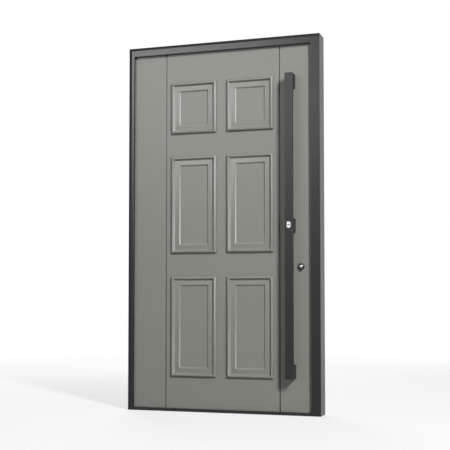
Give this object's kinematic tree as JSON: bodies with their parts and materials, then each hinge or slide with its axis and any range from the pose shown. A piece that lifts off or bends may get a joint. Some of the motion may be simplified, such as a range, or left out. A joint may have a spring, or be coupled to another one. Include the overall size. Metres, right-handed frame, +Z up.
{
  "type": "panelled front door with frame",
  "caption": "Inward-opening front door in its frame: grooved leaf with raised mouldings, long pull bar with reader, cylinder lock, latch, lever and barrel hinges.",
  "frame": {"origin": "under the threshold, at the middle of the frame's width and depth", "axes": "+X from the hinge side to the lock side, -Y outdoors, +Z up"},
  "size_m": [1.19, 0.2226, 2.2],
  "materials": {
    "frame_paint": "satin paint on laminated timber",
    "threshold_metal": "satin powder coat",
    "black_seal": "matt",
    "leaf_paint": "satin paint on moulded board",
    "inside_paint": "satin paint on board",
    "timber": "planed",
    "foam": "matt",
    "bar_paint": "satin powder coat",
    "furniture_black": "satin",
    "steel": "satin",
    "bright_metal": "polished",
    "brass": "machined",
    "reader_body": "gloss",
    "reader_glass": "gloss"
  },
  "bodies": {
    "frame": {"corner_screws": "steel", "face_strips": "frame_paint", "head": "frame_paint", "hinge_frame_half_bottom": "steel", "hinge_frame_half_middle": "steel", "hinge_frame_half_top": "steel", "hinge_frame_screws": "steel", "hinge_jamb": "frame_paint", "hinge_pins": "steel", "keep_plate": "steel", "keep_screws": "steel", "lock_jamb": "frame_paint", "stop_gasket_head": "black_seal", "stop_gasket_hinge_side": "black_seal", "stop_gasket_lock_side": "black_seal", "threshold": "threshold_metal", "wall_seal_head": "black_seal", "wall_seal_hinge_side": "black_seal"},
    "leaf": {"bottom_rail": "timber", "bottom_seal": "black_seal", "cylinder_body": "bright_metal", "cylinder_rose_inside": "furniture_black", "cylinder_rose_outside": "furniture_black", "hinge_bushes": "brass", "hinge_leaf_half_bottom": "steel", "hinge_leaf_half_middle": "steel", "hinge_leaf_half_top": "steel", "hinge_leaf_screws": "steel", "hinge_stile": "timber", "inner_panel": "inside_paint", "insulation_core": "foam", "lever_rose": "furniture_black", "lock_case": "steel", "lock_faceplate": "steel", "lock_screws": "steel", "lock_stile": "timber", "moulding_bottom_left": "leaf_paint", "moulding_bottom_right": "leaf_paint", "moulding_middle_left": "leaf_paint", "moulding_middle_right": "leaf_paint", "moulding_top_left": "leaf_paint", "moulding_top_right": "leaf_paint", "outer_panel": "leaf_paint", "pull_bar": "bar_paint", "pull_bar_caps": "bar_paint", "reader_bezel": "bright_metal", "reader_housing": "reader_body", "reader_sensor": "reader_glass", "standoff_bolts": "steel", "standoff_bottom": "bar_paint", "standoff_middle": "bar_paint", "standoff_top": "bar_paint", "top_rail": "timber"},
    "lever": {"lever": "furniture_black", "lever_spindle": "steel", "lock_follower": "brass"},
    "thumbturn": {"thumbturn": "furniture_black"},
    "cylinder_plug": {"cylinder_plug": "bright_metal"},
    "latch": {"latch_bolt": "brass"},
    "dead_bolt": {"dead_bolt": "steel"}
  },
  "joints": [
    {"name": "leaf_swing", "type": "hinge", "parent": "frame", "child": "leaf", "pos_m": [-0.5725, 0.0676, 0], "axis": [0, 0, 1], "range_deg": [0, 105]},
    {"name": "lever_turn", "type": "hinge", "parent": "leaf", "child": "lever", "pos_m": [0.478, 0.052, 0.947], "axis": [0, -1, 0], "range_deg": [0, 45], "stiffness_Nm_per_rad": 1.2, "springref_deg": -22.92},
    {"name": "thumb_turn", "type": "hinge", "parent": "leaf", "child": "thumbturn", "pos_m": [0.478, 0.06, 0.855], "axis": [0, 1, 0], "range_deg": [0, 360]},
    {"name": "key_turn", "type": "hinge", "parent": "leaf", "child": "cylinder_plug", "pos_m": [0.478, -0.044, 0.855], "axis": [0, 1, 0], "range_deg": [0, 360]},
    {"name": "latch_slide", "type": "slide", "parent": "leaf", "child": "latch", "axis": [-1, 0, 0], "range_m": [0, 0.011]},
    {"name": "dead_bolt_slide", "type": "slide", "parent": "leaf", "child": "dead_bolt", "axis": [1, 0, 0], "range_m": [0, 0.02]}
  ],
  "couplings": [
    {"joint": "latch_slide", "follows": "lever_turn", "m_per_rad": 0.014},
    {"joint": "thumb_turn", "follows": "dead_bolt_slide", "rad_per_m": 314}
  ]
}
